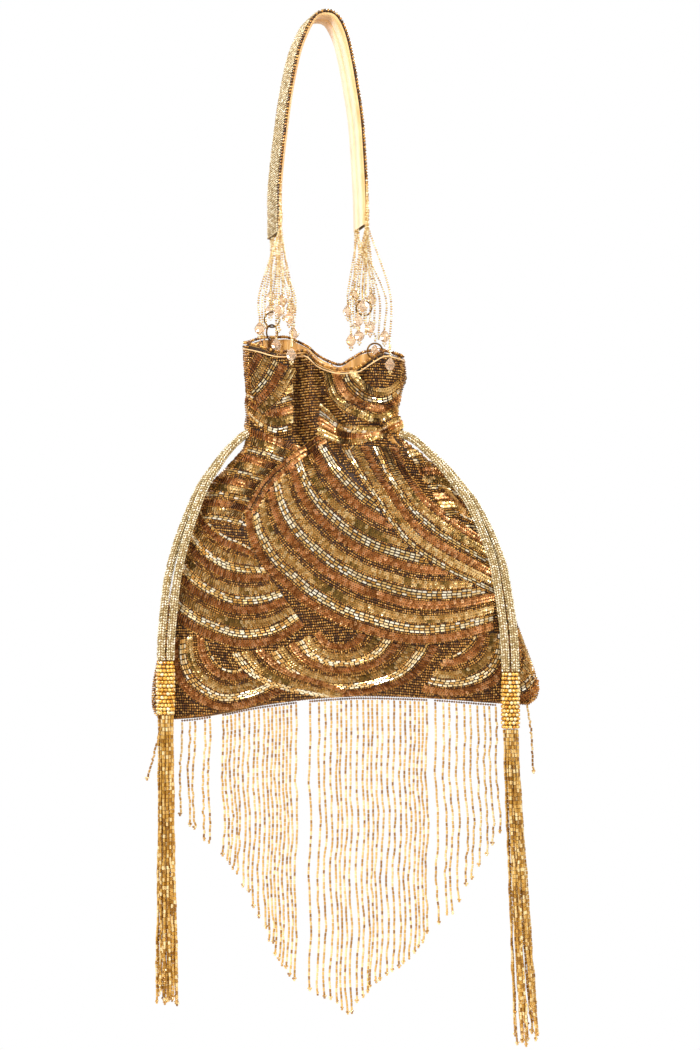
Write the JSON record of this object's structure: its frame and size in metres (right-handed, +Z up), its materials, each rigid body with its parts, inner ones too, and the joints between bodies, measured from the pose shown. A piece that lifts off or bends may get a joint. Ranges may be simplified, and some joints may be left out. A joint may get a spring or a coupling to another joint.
{
  "type": "potli bag",
  "caption": "Gathered drawstring pouch covered in beadwork, hung from a beaded wrist strap, with a bead fringe and two tassels.",
  "frame": {"origin": "on the flat underside of the strap's top, where a hook or a hand holds the bag", "axes": "+Z up along the hanging bag, +X to the right of the front view, the front faces -Y"},
  "size_m": [0.2283, 0.0526, 0.5981],
  "materials": {
    "bead_embroidery": "satin",
    "strap_beads": "satin",
    "dark_beads": "gloss",
    "satin_lining": "satin",
    "brown_satin": "satin",
    "gold_strand_beads": "gloss",
    "crystal": "gloss",
    "brass_wire": "satin",
    "cord_beads": "satin",
    "amber_beads": "gloss",
    "pale_gold_bugles": "gloss"
  },
  "bodies": {
    "handle": {"strap_cover": "strap_beads", "strap_lining": "satin_lining", "strap_edge_front": "dark_beads", "strap_edge_back": "dark_beads", "ring_left_upper": "brass_wire", "ring_right_upper": "brass_wire", "strand_left_01": "gold_strand_beads", "strand_left_02": "gold_strand_beads", "strand_left_03": "gold_strand_beads", "strand_left_04": "gold_strand_beads", "strand_left_05": "gold_strand_beads", "strand_left_06": "gold_strand_beads", "strand_left_07": "gold_strand_beads", "strand_left_08": "gold_strand_beads", "strand_left_09": "gold_strand_beads", "strand_left_10": "gold_strand_beads", "strand_left_11": "gold_strand_beads", "strand_left_12": "gold_strand_beads", "strand_right_01": "gold_strand_beads", "strand_right_02": "gold_strand_beads", "strand_right_03": "gold_strand_beads", "strand_right_04": "gold_strand_beads", "strand_right_05": "gold_strand_beads", "strand_right_06": "gold_strand_beads", "strand_right_07": "gold_strand_beads", "strand_right_08": "gold_strand_beads", "strand_right_09": "gold_strand_beads", "strand_right_10": "gold_strand_beads", "strand_right_11": "gold_strand_beads", "strand_right_12": "gold_strand_beads", "strand_right_link": "gold_strand_beads"},
    "bag": {"shell": "bead_embroidery", "lining": "satin_lining", "mouth_piping": "dark_beads", "ring_left_lower": "brass_wire", "ring_right_lower": "brass_wire", "tab_left": "brown_satin", "tab_right": "brown_satin", "drop_left_over_rim": "crystal", "drop_right_over_rim": "crystal", "drop_right_ring": "crystal", "drawcord_left_a": "cord_beads", "drawcord_left_b": "cord_beads", "drawcord_right_a": "cord_beads", "drawcord_right_b": "cord_beads"},
    "tassel_left": {"cap_left": "amber_beads"},
    "skirt_left": {"skirt_left": "pale_gold_bugles"},
    "tassel_right": {"cap_right": "amber_beads"},
    "skirt_right": {"skirt_right": "pale_gold_bugles"},
    "fringe_1": {"fringe_1": "pale_gold_bugles", "fringe_corner_left": "pale_gold_bugles"},
    "fringe_2": {"fringe_2": "pale_gold_bugles"},
    "fringe_3": {"fringe_3": "pale_gold_bugles"},
    "fringe_4": {"fringe_4": "pale_gold_bugles", "fringe_corner_right": "pale_gold_bugles"}
  },
  "joints": [
    {"name": "bag_swing", "type": "hinge", "parent": "handle", "child": "bag", "pos_m": [-0.0284, 0, -0.177], "axis": [0.9878, 0, -0.1555], "range_deg": [-35, 35]},
    {"name": "tassel_left_swing", "type": "hinge", "parent": "bag", "child": "tassel_left", "pos_m": [-0.0893, -0.0135, -0.3726], "axis": [1, 0, 0], "range_deg": [-60, 3]},
    {"name": "skirt_left_sway", "type": "hinge", "parent": "tassel_left", "child": "skirt_left", "pos_m": [-0.0893, -0.0135, -0.4037], "axis": [0, 1, 0], "range_deg": [-2, 45]},
    {"name": "tassel_right_swing", "type": "hinge", "parent": "bag", "child": "tassel_right", "pos_m": [0.1092, -0.0137, -0.3791], "axis": [1, 0, 0], "range_deg": [-60, 3]},
    {"name": "skirt_right_sway", "type": "hinge", "parent": "tassel_right", "child": "skirt_right", "pos_m": [0.1092, -0.0137, -0.4119], "axis": [0, -1, 0], "range_deg": [-2, 45]},
    {"name": "fringe_1_swing", "type": "hinge", "parent": "bag", "child": "fringe_1", "pos_m": [-0.0806, 0, -0.40521], "axis": [0.9925, 0, 0.1222], "range_deg": [-60, 60]},
    {"name": "fringe_2_swing", "type": "hinge", "parent": "bag", "child": "fringe_2", "pos_m": [-0.0568, 0, -0.40191], "axis": [0.9864, 0, 0.1641], "range_deg": [-60, 60]},
    {"name": "fringe_3_swing", "type": "hinge", "parent": "bag", "child": "fringe_3", "pos_m": [-0.0064, 0, -0.39407], "axis": [0.9999, 0, 0.0119], "range_deg": [-60, 60]},
    {"name": "fringe_4_swing", "type": "hinge", "parent": "bag", "child": "fringe_4", "pos_m": [0.0661, 0, -0.3935], "axis": [0.9972, 0, -0.0749], "range_deg": [-60, 60]}
  ]
}
